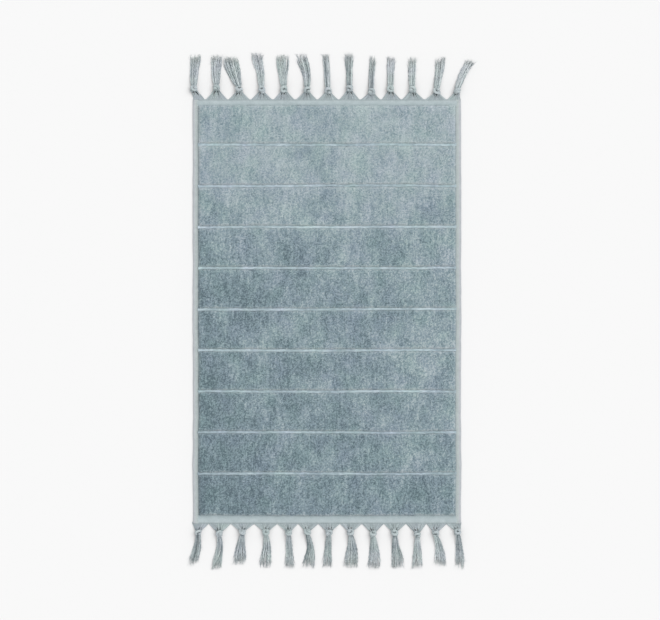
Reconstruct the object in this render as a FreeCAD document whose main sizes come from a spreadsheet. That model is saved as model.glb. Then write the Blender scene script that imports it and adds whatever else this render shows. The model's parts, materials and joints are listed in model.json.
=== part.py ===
"""Cotton bath mat: a ground cloth with ten bands of cut pile, hems, end borders and 26 knotted tassels.

Frame: millimetres, +Z up, +Y towards the head end. The origin is on the underside, at the middle of the
cloth's length and width. The cloth folds at the nine pile-free ribs, so cloth, pile and hems are built
band by band, band 1 at the head end. Each tassel is hinged where its yarns leave the cloth.
"""
import FreeCAD, Part
import os

from FreeCAD import Placement, Rotation, Vector

BAND_COUNT = 10
CENTRE_RIB = 5  # rib k lies between band k and band k + 1

# Driving dimensions, in millimetres.
DIMENSIONS = {
    "mat_width": 500,
    "mat_length": 789,
    "ground_thickness": 2,
    "pile_height": 6,
    "pile_slope": 1.5,  # how far the pile's sides lean in over their height
    "hem_width": 9.5,
    "hem_thickness": 2.6,
    "head_border": 12.5,
    "foot_border": 15,
    "rib_pitch": 76.4,
    "rib_offset": 4.5,  # the centre rib's distance from the middle of the mat
    "rib_width": 4.6,  # the bare strip between two bands of pile
    "panel_setback": 1.6,  # from the fold line to the centre of a panel's rounded end
    "hem_setback": 1.3,  # from the fold line to a hem's flat end
    "border_setback": 3.5,  # from a tassel's hinge to the centre of the border's rounded edge
    "tassel_gap": 0.6,  # between the roots of two tassels
    "tassel_lift": 5,  # height of a knot's centre
    "knot_across": 5.3,
    "knot_along": 5.6,
    "neck_radius": 3.8,
    "waist_share": 0.4,  # how far from root to knot the gather has its waist
    "waist_spread": 0.3,  # half width kept at the waist, beyond the neck, as a share of the root's
    "waist_thickness": 2.2,
    "skirt_thickness": 1.9,  # half thickness of a skirt at its tip
    "skirt_height": 2.3,  # height of the middle of a skirt's tip
}

# One row for each tassel, from left to right: the knot's place across the mat and its distance from the
# cloth's edge, the tip's place across the mat and its distance from the edge, and the tip's width.
TASSEL_COLUMNS = ("knot", "reach", "tip", "fall", "splay")
TASSELS = {
    "head": [
        (-247, 20, -246, 80, 20), (-205, 22, -205, 80, 22), (-163, 19, -179, 76, 25),
        (-121, 18, -130, 83, 20), (-80, 20, -83, 79, 23), (-37, 18, -46, 81, 19),
        (2, 17, -1, 80, 15), (42, 21, 42, 83, 14), (83, 15, 85, 78, 14),
        (118, 19, 119, 76, 17), (159, 19, 159, 75, 17), (204, 15, 211, 76, 20),
        (242, 15, 263, 70, 18),
    ],
    "foot": [
        (-239, 15, -251, 75, 18), (-200, 18, -205, 81, 17), (-157, 15, -162, 72, 24),
        (-113, 16, -114, 78, 22), (-71, 16, -69, 79, 17), (-36, 15, -32, 79, 19),
        (4, 16, 1, 78, 17), (44, 16, 45, 78, 26), (86, 18, 88, 80, 23),
        (126, 17, 130, 79, 20), (168, 19, 168, 80, 20), (202, 17, 211, 75, 22),
        (243, 15, 247, 81, 18),
    ],
}
END_SIGN = {"head": 1, "foot": -1}  # which way an end's tassels point along Y

doc = FreeCAD.newDocument("bath_mat")
sheet = doc.addObject("Spreadsheet::Sheet", "dims")


def fill_sheet():
    """Each driving dimension gets a named row, and each tassel five named cells."""
    rows = list(DIMENSIONS.items())
    for end, tassels in TASSELS.items():
        for number, values in enumerate(tassels, 1):
            for column, value in zip(TASSEL_COLUMNS, values):
                rows.append((f"{end}_{number}_{column}", value))
    for row, (name, value) in enumerate(rows, 1):
        sheet.set(f"A{row}", name)
        sheet.set(f"B{row}", str(value))
        sheet.setAlias(f"B{row}", name)
    doc.recompute()


def formula(text):
    """A formula in the sheet's names, written with a # before each name."""
    return text.replace("#", "dims.")


def add(kind, name, formulas, rotation=None):
    """A document object whose sizes and place are bound to the sheet."""
    thing = doc.addObject(kind, name)
    if rotation is not None:
        thing.Placement = Placement(Vector(), rotation)
    for path, text in formulas.items():
        thing.setExpression(path, formula(text))
    return thing


def at(x, y, z):
    """Formulas for an object's place."""
    return {"Placement.Base.x": x, "Placement.Base.y": y, "Placement.Base.z": z}


def rib_y(rib):
    """Formula for a fold line's place along the mat."""
    return f"(#rib_offset + {CENTRE_RIB - rib} * #rib_pitch)"


def band_y(band, setback):
    """Formulas for a band's foot and head edges, set back from its fold lines."""
    low = f"({rib_y(band)} + {setback})" if band < BAND_COUNT else "(#foot_border - #mat_length / 2)"
    high = f"({rib_y(band - 1)} - {setback})" if band > 1 else "(#mat_length / 2 - #head_border)"
    return low, high


def plate(name, width, low, high, thickness, rounded):
    """A flat plate centred across the mat, with a half-round edge at each place in rounded."""
    core = {"Length": width, "Width": f"{high} - {low}", "Height": thickness}
    core.update(at(f"-({width}) / 2", low, "0"))
    pieces = [add("Part::Box", name + "_core", core)]
    for edge, y in enumerate(rounded):
        bead = {"Radius": f"{thickness} / 2", "Height": width}
        bead.update(at(f"-({width}) / 2", y, f"{thickness} / 2"))
        pieces.append(add("Part::Cylinder", f"{name}_edge_{edge}", bead, ALONG_X))
    whole = doc.addObject("Part::MultiFuse", name)
    whole.Shapes = pieces
    whole.Refine = True
    return whole


def ground_panel(band):
    """The woven ground of one band, with a rounded edge along each fold line."""
    low, high = band_y(band, "#panel_setback")
    rounded = ([low] if band < BAND_COUNT else []) + ([high] if band > 1 else [])
    width = "(#mat_width - 2 * #hem_width)"
    return plate(f"ground_panel_{band}", width, low, high, "#ground_thickness", rounded)


def pile_band(band):
    """The cut pile of one band, a block whose sides lean in towards its top."""
    low, high = band_y(band, "#rib_width / 2")
    width = "(#mat_width - 2 * #hem_width)"
    sizes = {
        "Xmax": width,
        "Ymax": "#pile_height",
        "Zmax": f"{high} - {low}",
        "X2max": f"{width} - #pile_slope",
        "X2min": "#pile_slope",
        "Z2max": f"{high} - {low} - #pile_slope",
        "Z2min": "#pile_slope",
    }
    sizes.update(at(f"-{width} / 2", high, "#ground_thickness"))
    block = doc.addObject("Part::Wedge", f"pile_band_{band}")
    block.Placement = Placement(Vector(), Y_TO_Z)
    block.Xmin = block.Ymin = block.Zmin = 0
    for path, text in sizes.items():
        block.setExpression(path, formula(text))
    return block


def side_hems(band):
    """The two stitched-down selvedges of one band, left and right."""
    low, high = band_y(band, "#hem_setback")
    strips = []
    for side, x in (("left", "-#mat_width / 2"), ("right", "#mat_width / 2 - #hem_width")):
        sizes = {"Length": "#hem_width", "Width": f"{high} - {low}", "Height": "#hem_thickness"}
        sizes.update(at(x, low, "0"))
        strips.append(add("Part::Box", f"hem_{side}_{band}", sizes))
    pair = doc.addObject("Part::Compound", f"side_hems_{band}")
    pair.Links = strips
    return pair


def end_border(end):
    """The flat woven strip between the pile and the tassels at one end."""
    edge = "(#mat_length / 2 - #border_setback)"
    inner = f"(#mat_length / 2 - #{end}_border)"
    if end == "head":
        return plate("head_border", "#mat_width", inner, edge, "#ground_thickness", [edge])
    return plate("foot_border", "#mat_width", f"-{edge}", f"-{inner}", "#ground_thickness", [f"-{edge}"])


def root_sides(end, number):
    """Formulas for where a tassel's root starts and stops: halfway to the knots beside it."""
    knot = f"#{end}_{number}_knot"
    left = f"({knot} + #{end}_{number - 1}_knot) / 2" if number > 1 else "-#mat_width / 2"
    last = number == len(TASSELS[end])
    right = f"({knot} + #{end}_{number + 1}_knot) / 2" if not last else "#mat_width / 2"
    return f"({left} + #tassel_gap / 2)", f"({right} - #tassel_gap / 2)"


def tassel(end, number):
    """The cloth's own warp yarns: a flat gather, one overhand knot and a spreading skirt.

    The root is a bead about the hinge line. Ellipses across the yarns give the rest: the gather narrows
    through a waist to the neck inside the knot, and the skirt spreads from the neck to the tip.
    """
    name = f"{end}_tassel_{number}"
    sign = END_SIGN[end]
    value = {column: f"#{end}_{number}_{column}" for column in TASSEL_COLUMNS}
    left, right = root_sides(end, number)
    edge = f"({sign} * #mat_length / 2)"
    middle = f"(({left} + {right}) / 2)"
    knot_y = f"({edge} + {sign} * {value['reach']})"
    half_root = f"(({right} - {left}) / 2)"
    half_skin = "#ground_thickness / 2"

    def section(label, half_width, half_thickness, x, y, z):
        sizes = {"MajorRadius": half_width, "MinorRadius": half_thickness}
        sizes.update(at(x, y, z))
        return add("Part::Ellipse", f"{name}_{label}", sizes, ACROSS_Y)

    def loft(label, sections):
        body = doc.addObject("Part::Loft", f"{name}_{label}")
        body.Sections = sections
        body.Solid = True
        body.Ruled = True
        return body

    bead = {"Radius": half_skin, "Height": f"{right} - {left}"}
    bead.update(at(left, edge, half_skin))
    root = add("Part::Cylinder", f"{name}_root", bead, ALONG_X)
    neck = section("neck", "#neck_radius", "#neck_radius - 0.01", value["knot"], knot_y, "#tassel_lift")
    start = section("start", half_root, half_skin, middle, edge, half_skin)
    waist = section(
        "waist",
        f"#neck_radius + #waist_spread * {half_root}",
        "#waist_thickness",
        f"{middle} + ({value['knot']} - {middle}) * #waist_share",
        f"{edge} + {sign} * {value['reach']} * #waist_share",
        f"{half_skin} + (#tassel_lift - {half_skin}) * #waist_share",
    )
    tip = section(
        "tip",
        f"{value['splay']} / 2",
        "#skirt_thickness",
        value["tip"],
        f"{edge} + {sign} * {value['fall']}",
        "#skirt_height",
    )
    ball = {"Radius1": "#tassel_lift", "Radius2": "#knot_across", "Radius3": "#knot_along"}
    ball.update(at(value["knot"], knot_y, "#tassel_lift"))
    knot = add("Part::Ellipsoid", f"{name}_knot", ball)
    whole = doc.addObject("Part::MultiFuse", name)
    whole.Shapes = [root, loft("gather", [start, waist, neck]), knot, loft("skirt", [neck, tip])]
    return whole


def check(nodes):
    """Stops if any object failed or any sub-part's shape is empty or broken."""
    for thing in doc.Objects:
        if "Invalid" in thing.State or "Error" in thing.State:
            raise RuntimeError(f"{thing.Label}: {thing.State}")
    for node in nodes:
        if node.Shape.isNull() or not node.Shape.isValid() or not node.Shape.Solids:
            raise RuntimeError(f"{node.Label} has no sound solid")


ALONG_X = Rotation(Vector(0, 1, 0), 90)
ACROSS_Y = Rotation(Vector(1, 0, 0), 90)
Y_TO_Z = Rotation(Vector(1, 0, 0), 90)

fill_sheet()
nodes = []
for band in range(1, BAND_COUNT + 1):
    nodes += [ground_panel(band), pile_band(band), side_hems(band)]
for end, tassels in TASSELS.items():
    nodes.append(end_border(end))
    nodes += [tassel(end, number) for number in range(1, len(tassels) + 1)]
doc.recompute()
check(nodes)

os.makedirs("parts", exist_ok=True)
for node in nodes:
    node.Shape.exportStep(f"parts/{node.Label}.step")
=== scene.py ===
"""The looks of a cotton bath mat: cut pile, woven cloth, stitched hems and knotted yarn tassels.

Shapes are worked out in millimetres, in the CAD model's frame: x across the mat, y along it towards the
head end, z up. The cloth, hems and pile are made in strips that run from the middle of one band of pile to
the middle of the next, so that each strip bends at the one bare rib it holds.
"""
import json
import math

import bpy
import numpy as np
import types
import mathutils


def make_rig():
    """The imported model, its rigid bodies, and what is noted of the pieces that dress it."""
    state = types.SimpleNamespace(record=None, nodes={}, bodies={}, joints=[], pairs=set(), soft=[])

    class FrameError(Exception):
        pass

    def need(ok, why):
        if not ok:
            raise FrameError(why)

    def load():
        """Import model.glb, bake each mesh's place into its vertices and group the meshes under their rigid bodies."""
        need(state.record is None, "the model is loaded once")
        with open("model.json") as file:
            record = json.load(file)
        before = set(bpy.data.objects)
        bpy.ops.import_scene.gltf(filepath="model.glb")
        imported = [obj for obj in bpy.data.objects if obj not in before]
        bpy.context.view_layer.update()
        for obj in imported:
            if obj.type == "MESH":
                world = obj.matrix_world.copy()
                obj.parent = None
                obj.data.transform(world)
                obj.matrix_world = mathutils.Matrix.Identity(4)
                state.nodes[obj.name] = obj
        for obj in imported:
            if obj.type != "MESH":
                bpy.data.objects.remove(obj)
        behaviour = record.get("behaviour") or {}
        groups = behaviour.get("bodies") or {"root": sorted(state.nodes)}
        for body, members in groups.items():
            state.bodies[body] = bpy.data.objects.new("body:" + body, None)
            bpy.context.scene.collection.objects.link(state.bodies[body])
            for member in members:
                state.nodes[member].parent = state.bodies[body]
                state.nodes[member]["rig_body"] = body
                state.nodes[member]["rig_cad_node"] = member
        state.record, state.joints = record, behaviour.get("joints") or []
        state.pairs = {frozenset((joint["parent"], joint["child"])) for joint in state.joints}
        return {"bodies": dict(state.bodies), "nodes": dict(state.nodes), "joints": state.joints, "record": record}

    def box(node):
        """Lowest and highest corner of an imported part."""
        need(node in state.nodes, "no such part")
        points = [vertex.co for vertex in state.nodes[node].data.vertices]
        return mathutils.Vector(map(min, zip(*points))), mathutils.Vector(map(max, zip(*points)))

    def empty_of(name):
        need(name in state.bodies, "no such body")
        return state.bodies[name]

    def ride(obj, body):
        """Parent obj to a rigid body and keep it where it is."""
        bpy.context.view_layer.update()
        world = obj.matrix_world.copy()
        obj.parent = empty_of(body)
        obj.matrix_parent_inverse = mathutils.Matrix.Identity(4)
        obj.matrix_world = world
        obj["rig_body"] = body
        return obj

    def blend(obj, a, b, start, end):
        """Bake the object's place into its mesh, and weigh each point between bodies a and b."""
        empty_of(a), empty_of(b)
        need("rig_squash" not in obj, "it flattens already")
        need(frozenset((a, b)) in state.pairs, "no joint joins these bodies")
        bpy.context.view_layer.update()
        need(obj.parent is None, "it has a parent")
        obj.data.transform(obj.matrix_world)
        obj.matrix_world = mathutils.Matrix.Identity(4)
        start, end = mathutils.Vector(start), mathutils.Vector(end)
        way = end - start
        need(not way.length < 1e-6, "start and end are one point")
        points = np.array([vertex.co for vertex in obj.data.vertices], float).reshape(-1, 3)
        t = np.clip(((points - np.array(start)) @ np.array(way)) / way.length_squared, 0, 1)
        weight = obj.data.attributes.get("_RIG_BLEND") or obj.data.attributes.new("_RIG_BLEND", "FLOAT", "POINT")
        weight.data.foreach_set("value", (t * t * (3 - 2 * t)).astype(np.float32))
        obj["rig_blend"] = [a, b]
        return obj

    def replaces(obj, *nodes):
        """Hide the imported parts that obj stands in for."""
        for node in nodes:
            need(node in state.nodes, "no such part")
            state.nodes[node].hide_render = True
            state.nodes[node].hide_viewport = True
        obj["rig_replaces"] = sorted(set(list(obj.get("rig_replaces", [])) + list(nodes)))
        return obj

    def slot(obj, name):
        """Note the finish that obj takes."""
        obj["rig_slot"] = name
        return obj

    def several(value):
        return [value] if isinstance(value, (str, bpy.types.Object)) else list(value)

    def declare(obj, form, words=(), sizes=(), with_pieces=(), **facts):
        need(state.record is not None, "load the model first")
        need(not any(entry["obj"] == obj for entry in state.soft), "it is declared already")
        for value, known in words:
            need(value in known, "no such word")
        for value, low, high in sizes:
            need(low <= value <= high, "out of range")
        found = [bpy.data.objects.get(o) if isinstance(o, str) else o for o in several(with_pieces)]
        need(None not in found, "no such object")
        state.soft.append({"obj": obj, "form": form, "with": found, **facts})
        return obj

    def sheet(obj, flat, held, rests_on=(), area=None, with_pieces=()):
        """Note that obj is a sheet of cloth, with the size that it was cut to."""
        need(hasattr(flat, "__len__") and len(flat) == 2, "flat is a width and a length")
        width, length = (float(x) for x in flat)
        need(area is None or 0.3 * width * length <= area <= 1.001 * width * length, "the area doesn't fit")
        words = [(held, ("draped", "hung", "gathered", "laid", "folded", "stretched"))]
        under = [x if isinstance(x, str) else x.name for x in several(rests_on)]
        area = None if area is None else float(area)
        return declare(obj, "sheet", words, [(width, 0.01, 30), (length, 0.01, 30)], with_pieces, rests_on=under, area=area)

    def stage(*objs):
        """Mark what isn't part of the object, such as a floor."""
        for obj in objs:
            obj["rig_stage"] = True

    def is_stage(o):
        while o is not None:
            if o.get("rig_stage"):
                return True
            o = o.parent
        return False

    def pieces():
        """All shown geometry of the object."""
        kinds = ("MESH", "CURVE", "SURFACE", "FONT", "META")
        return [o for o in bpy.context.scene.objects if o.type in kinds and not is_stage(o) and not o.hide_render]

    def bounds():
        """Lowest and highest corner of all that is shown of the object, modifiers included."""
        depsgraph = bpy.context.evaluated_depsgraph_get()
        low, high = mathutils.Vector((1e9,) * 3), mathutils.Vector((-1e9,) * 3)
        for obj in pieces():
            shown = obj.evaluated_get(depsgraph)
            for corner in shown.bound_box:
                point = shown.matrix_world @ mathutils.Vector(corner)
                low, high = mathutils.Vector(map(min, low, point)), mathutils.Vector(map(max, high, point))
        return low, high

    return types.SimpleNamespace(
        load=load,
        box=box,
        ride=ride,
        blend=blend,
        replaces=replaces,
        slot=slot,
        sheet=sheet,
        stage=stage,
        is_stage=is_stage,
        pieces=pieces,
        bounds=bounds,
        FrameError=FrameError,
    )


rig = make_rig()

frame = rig.load()
cad_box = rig.bounds()

MM = 0.001

# ---- sizes read from the frame, in mm
JOINTS = {joint["name"]: joint for joint in frame["joints"]}
BAND_COUNT = 1 + sum(name.startswith("band_fold_") for name in JOINTS)
RIBS = [JOINTS[f"band_fold_{rib}"]["pos_m"][1] / MM for rib in range(1, BAND_COUNT)]
EDGE = JOINTS["head_tassel_1_flop"]["pos_m"][1] / MM
ENDS = {"head": 1, "foot": -1}


def box_mm(node):
    """A CAD node's lowest and highest corner, in mm."""
    low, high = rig.box(node)
    return np.array(low) / MM, np.array(high) / MM


GROUND_TOP = box_mm("ground_panel_5")[1][2]
HALF_PILE = box_mm("pile_band_5")[1][0]
HALF_MAT = box_mm("side_hems_5")[1][0]
HEM_TOP = box_mm("side_hems_5")[1][2]
PILE_TOP = box_mm("pile_band_5")[1][2]
HEAD_PILE = box_mm("pile_band_1")[1][1]
FOOT_PILE = box_mm(f"pile_band_{BAND_COUNT}")[0][1]

# ---- sizes of the woven details, in mm
BEND = 9.0  # how far either side of a rib the cloth curves
RIB_HALF = 2.2  # half the bare strip between two bands of pile
RIB_HEIGHT = 1.9  # how far the rib's weft yarns stand over the cloth
PILE_RIM = 5.0  # how far the pile's rounded rim reaches in
PILE_STEP = 1.0  # spacing of the pile's surface points
TUFT_PITCH = 2.1
TUFT_ENDS = 28000  # loose yarn ends standing in one strip of pile
CLOTH_STEP = 3.0
CLOTH_HALF = HALF_PILE + 1.5  # half the ground cloth's width, which runs in under the hems
SINK = 0.5  # how far a hidden surface lies under the cloth's top
SEAM = HALF_PILE + 2.3  # where the hem's seam runs
THREAD_PITCH = 3.2  # one stitch of the hem's seam
THREAD_RADIUS = 0.24


# ---- noise, seeded and repeatable
def lattice(seed, size=512, layers=1):
    """Random numbers on a square lattice."""
    return np.random.default_rng(seed).random((layers, size, size))


def noise(x, y, cell, seed):
    """Smooth noise from -1 to 1, with features about one cell across."""
    table = lattice(seed)[0]
    size = len(table)
    u, v = np.asarray(x) / cell, np.asarray(y) / cell
    i, j = np.floor(u).astype(int), np.floor(v).astype(int)
    a, b = u - i, v - j
    a, b = a * a * (3 - 2 * a), b * b * (3 - 2 * b)
    i0, i1, j0, j1 = i % size, (i + 1) % size, j % size, (j + 1) % size
    near = table[i0, j0] * (1 - a) + table[i1, j0] * a
    far = table[i0, j1] * (1 - a) + table[i1, j1] * a
    return 2 * (near * (1 - b) + far * b) - 1


def noise_1d(place, cell, seed):
    """Smooth noise from -1 to 1 along a line."""
    return noise(place, 0 * place, cell, seed)


def layered(x, y, cell, seed, layers=3):
    """Noise in layers, each half the size and a little over half the strength of the last."""
    total, strength = 0.0, 1.0
    for layer in range(layers):
        total = total + strength * noise(x, y, cell / 2**layer, seed + layer)
        strength *= 0.55
    return total / 1.6


def nearest_tuft(x, y, pitch, seed):
    """Distance to the nearest tuft's centre, in pitches, and that tuft's own random number."""
    shift_x, shift_y, value = lattice(seed, layers=3)
    size = len(value)
    column, row = np.floor(x / pitch).astype(int), np.floor(y / pitch).astype(int)
    best, mark = np.full(x.shape, np.inf), np.zeros(x.shape)
    for step_x in (-1, 0, 1):
        for step_y in (-1, 0, 1):
            c, r = column + step_x, row + step_y
            i, j = c % size, r % size
            across = (c + 0.15 + 0.7 * shift_x[i, j]) * pitch - x
            along = (r + 0.15 + 0.7 * shift_y[i, j]) * pitch - y
            distance = np.hypot(across, along) / pitch
            closer = distance < best
            best = np.where(closer, distance, best)
            mark = np.where(closer, value[i, j], mark)
    return best, mark


def smooth(value):
    """Eases 0..1 in and out, and clips what lies outside."""
    value = np.clip(value, 0, 1)
    return value * value * (3 - 2 * value)


# ---- mesh building
def make(name, points, faces, material, slot, marks=None, flat=()):
    """A mesh from points in mm and arrays of faces, each with one face size. Those numbered in flat have
    sharp edges, and the rest are shaded smooth."""
    points = np.asarray(points, float).reshape(-1, 3)
    mesh = bpy.data.meshes.new(name)
    mesh.vertices.add(len(points))
    mesh.vertices.foreach_set("co", (points * MM).ravel())
    corners = np.concatenate([np.asarray(f).ravel() for f in faces])
    sizes = np.concatenate([np.full(len(f), np.shape(f)[1]) for f in faces])
    mesh.loops.add(len(corners))
    mesh.loops.foreach_set("vertex_index", corners.astype(np.int32))
    mesh.polygons.add(len(sizes))
    starts = np.concatenate([[0], np.cumsum(sizes)[:-1]])
    mesh.polygons.foreach_set("loop_start", starts.astype(np.int32))
    shading = np.concatenate([np.full(len(f), number not in flat) for number, f in enumerate(faces)])
    mesh.polygons.foreach_set("use_smooth", shading)
    mesh.update(calc_edges=True)
    mesh.validate()
    if flat:
        sharpen(mesh, [faces[number] for number in flat])
    for mark, values in {"rest": points, **(marks or {})}.items():
        values = np.asarray(values, np.float32)
        vector = values.ndim == 2
        kind = "FLOAT_VECTOR" if vector else "FLOAT"
        layer = mesh.attributes.new(mark, kind, "POINT")
        layer.data.foreach_set("vector" if vector else "value", values.ravel())
    mesh.materials.append(material)
    piece = bpy.data.objects.new(name, mesh)
    bpy.context.scene.collection.objects.link(piece)
    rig.slot(piece, slot)
    return piece


def sharpen(mesh, hard_faces):
    """Makes the edges of some arrays of faces sharp, so that the faces beside them shade on their own."""
    ends = np.empty(2 * len(mesh.edges), np.int32)
    mesh.edges.foreach_get("vertices", ends)
    sides = [np.stack([faces, np.roll(faces, -1, axis=1)], -1).reshape(-1, 2) for faces in hard_faces]
    weights = np.array([len(mesh.vertices), 1])
    keys = [np.sort(pairs) @ weights for pairs in (ends.reshape(-1, 2), np.concatenate(sides))]
    mark = mesh.attributes.new("sharp_edge", "BOOLEAN", "EDGE")
    mark.data.foreach_set("value", np.isin(*keys))


def grid_faces(rows, columns, start=0, flip=False):
    """Faces of a grid whose points run along the columns first."""
    index = start + np.arange(rows * columns).reshape(rows, columns)
    quads = np.stack([index[:-1, :-1], index[:-1, 1:], index[1:, 1:], index[1:, :-1]], -1).reshape(-1, 4)
    return quads[:, ::-1] if flip else quads


def outline(rows, columns):
    """A grid's outer points, once round."""
    index = np.arange(rows * columns).reshape(rows, columns)
    return np.concatenate([index[0, :-1], index[:-1, -1], index[-1, :0:-1], index[:0:-1, 0]])


def slab(x, y, top, bottom):
    """Points and faces of a closed slab between two surfaces over the same grid. y grows by rows."""
    rows, columns = x.shape
    count = rows * columns
    points = np.concatenate([np.stack([x, y, z], -1).reshape(-1, 3) for z in (top, bottom)])
    rim = outline(rows, columns)
    after = np.roll(rim, -1)
    wall = np.stack([rim, rim + count, after + count, after], -1)
    return points, [grid_faces(rows, columns), grid_faces(rows, columns, count, flip=True), wall]


def lid(x, y, top, floor):
    """A closed slab with a detailed top and a flat floor of plain rungs from side to side."""
    rows, columns = x.shape
    rim = outline(rows, columns)
    upper = np.stack([x, y, top], -1).reshape(-1, 3)
    lower = upper[rim] * (1, 1, 0) + (0, 0, floor)
    under = len(upper) + np.arange(len(rim))
    wall = np.stack([rim, under, np.roll(under, -1), np.roll(rim, -1)], -1)
    right = under[columns - 1: columns + rows - 1]
    left = np.append(under[columns + rows + columns - 3:], under[0])[::-1]
    rungs = np.stack([left[1:-2], left[2:-1], right[2:-1], right[1:-2]], -1)
    first = under[:columns]
    last = under[columns + rows - 2: 2 * columns + rows - 2]
    near = np.concatenate([[left[1]], [right[1]], first[::-1]])[None]
    far = np.concatenate([[right[-2]], [left[-2]], last[::-1]])[None]
    return np.concatenate([upper, lower]), [grid_faces(rows, columns), wall, rungs, near, far]


def tubes(paths, radii, sides=6):
    """Closed tubes along many paths at once. paths is (tube, point, xyz) and radii (tube, point)."""
    count, length, _ = paths.shape
    along = np.gradient(paths, axis=1)
    along /= np.linalg.norm(along, axis=2, keepdims=True) + 1e-9
    across = np.cross(along[:, 0], (0.13, 0.05, 1.0))
    frames = np.empty_like(paths)
    for step in range(length):
        tangent = along[:, step]
        across = across - (across * tangent).sum(1, keepdims=True) * tangent
        across /= np.linalg.norm(across, axis=1, keepdims=True) + 1e-9
        frames[:, step] = across
    other = np.cross(along, frames)
    turn = 2 * np.pi * np.arange(sides) / sides
    ring = frames[:, :, None] * np.cos(turn)[:, None] + other[:, :, None] * np.sin(turn)[:, None]
    points = paths[:, :, None] + ring * radii[:, :, None, None]
    index = np.arange(count * length * sides).reshape(count, length, sides)
    after = np.roll(index, -1, axis=2)
    quads = np.stack([index[:, :-1], after[:, :-1], after[:, 1:], index[:, 1:]], -1).reshape(-1, 4)
    caps = np.concatenate([index[:, 0, ::-1], index[:, -1]])
    run = np.linalg.norm(np.diff(paths, axis=1), axis=2).cumsum(1)
    run = np.concatenate([np.zeros((count, 1)), run], 1)
    twine = np.empty((count, length, sides, 3))
    twine[..., 0] = np.cos(2 * turn)
    twine[..., 1] = np.sin(2 * turn)
    twine[..., 2] = run[:, :, None]
    return points.reshape(-1, 3), [quads, caps], twine.reshape(-1, 3)


class Yarns:
    """Collects tubes, to be made into one mesh."""

    def __init__(self):
        self.points, self.quads, self.caps, self.twine, self.tint = [], [], {}, [], []
        self.count = 0

    def add(self, paths, radii, tint, sides=6):
        points, (quads, caps), twine = tubes(paths, radii, sides)
        self.points.append(points)
        self.quads.append(quads + self.count)
        self.caps.setdefault(sides, []).append(caps + self.count)
        self.twine.append(twine)
        tint = np.broadcast_to(np.reshape(tint, (len(paths), -1)), paths.shape[:2])
        self.tint.append(np.repeat(tint.ravel(), sides))
        self.count += len(points)

    def make(self, name, material, slot):
        faces = [np.concatenate(self.quads)] + [np.concatenate(caps) for caps in self.caps.values()]
        marks = {"twine": np.concatenate(self.twine), "tint": np.concatenate(self.tint)}
        return make(name, np.concatenate(self.points), faces, material, slot, marks)


# ---- materials
def shader(name, roughness, sheen):
    """A cotton material: its nodes, its shader, and a link function."""
    material = bpy.data.materials.new(name)
    material.use_nodes = True
    nodes = material.node_tree.nodes
    surface = nodes["Principled BSDF"]
    surface.inputs["Roughness"].default_value = roughness
    surface.inputs["Specular IOR Level"].default_value = 0.15
    surface.inputs["Sheen Weight"].default_value = sheen
    surface.inputs["Sheen Roughness"].default_value = 0.6
    return material, nodes, surface, material.node_tree.links.new


def attribute(nodes, name):
    node = nodes.new("ShaderNodeAttribute")
    node.attribute_name = name
    return node


def math_node(nodes, link, operation, *values):
    """A math node fed by sockets or plain numbers."""
    node = nodes.new("ShaderNodeMath")
    node.operation = operation
    for socket, value in zip(node.inputs, values):
        if isinstance(value, (int, float)):
            socket.default_value = value
        else:
            link(value, socket)
    return node.outputs[0]


def ramp(nodes, link, value, stops):
    """A colour ramp. stops are (place, linear colour)."""
    node = nodes.new("ShaderNodeValToRGB")
    elements = node.color_ramp.elements
    while len(elements) < len(stops):
        elements.new(0.5)
    for element, (place, colour) in zip(elements, stops):
        element.position = place
        element.color = (*colour, 1)
    link(value, node.inputs["Fac"])
    return node.outputs["Color"]


def speckle(nodes, link, scale, detail=2.0):
    """Noise over the rest position, with its scale in features per mm."""
    node = nodes.new("ShaderNodeTexNoise")
    node.inputs["Scale"].default_value = scale
    node.inputs["Detail"].default_value = detail
    link(attribute(nodes, "rest").outputs["Vector"], node.inputs["Vector"])
    return node.outputs["Fac"]


def bump(nodes, link, surface, height, strength, distance_mm):
    node = nodes.new("ShaderNodeBump")
    node.inputs["Strength"].default_value = strength
    node.inputs["Distance"].default_value = distance_mm * MM
    link(height, node.inputs["Height"])
    link(node.outputs["Normal"], surface.inputs["Normal"])


def dyed(nodes, link, colour):
    """Slow drifts of hue, as uneven dyeing gives: a little greener here, a little bluer there."""
    drift = speckle(nodes, link, 0.028, 3)
    stops = [(0.3, (0.945, 0.99, 0.95)), (0.5, (0.975, 0.975, 0.975)), (0.7, (0.975, 0.95, 1.0))]
    return product(nodes, link, colour, ramp(nodes, link, drift, stops))


def product(nodes, link, colour, tint):
    node = nodes.new("ShaderNodeVectorMath")
    node.operation = "MULTIPLY"
    link(colour, node.inputs[0])
    link(tint, node.inputs[1])
    return node.outputs[0]


def colours(deep, middle, light):
    """Ramp stops from three linear colours."""
    return [(0.0, deep), (0.5, middle), (1.0, light)]


def pile_material():
    """Cut pile: painted shade between the tufts and paler tips, each tuft and brushed patch its own shade."""
    material, nodes, surface, link = shader("cut_pile_cotton", 0.95, 0.3)
    shade = attribute(nodes, "shade").outputs["Fac"]
    cell = nodes.new("ShaderNodeTexVoronoi")
    cell.inputs["Scale"].default_value = 0.8
    link(attribute(nodes, "rest").outputs["Vector"], cell.inputs["Vector"])
    # Painted shade: darker away from each Voronoi cell's middle, between the tufts.
    ends = math_node(nodes, link, "MULTIPLY_ADD", cell.outputs["Distance"], -0.34, 0.13)
    fine = speckle(nodes, link, 1.3)
    grain = math_node(nodes, link, "MULTIPLY_ADD", fine, 0.3, -0.15)
    speckled = math_node(nodes, link, "ADD", grain, ends)
    total = math_node(nodes, link, "ADD", shade, speckled)
    stops = [(0.0, (0.085, 0.127, 0.15)), (0.35, (0.195, 0.27, 0.304)),
             (0.62, (0.325, 0.394, 0.419)), (1.0, (0.5, 0.565, 0.58))]
    link(dyed(nodes, link, ramp(nodes, link, total, stops)), surface.inputs["Base Color"])
    bump(nodes, link, surface, speckled, 0.9, 1.6)
    return material


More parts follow.
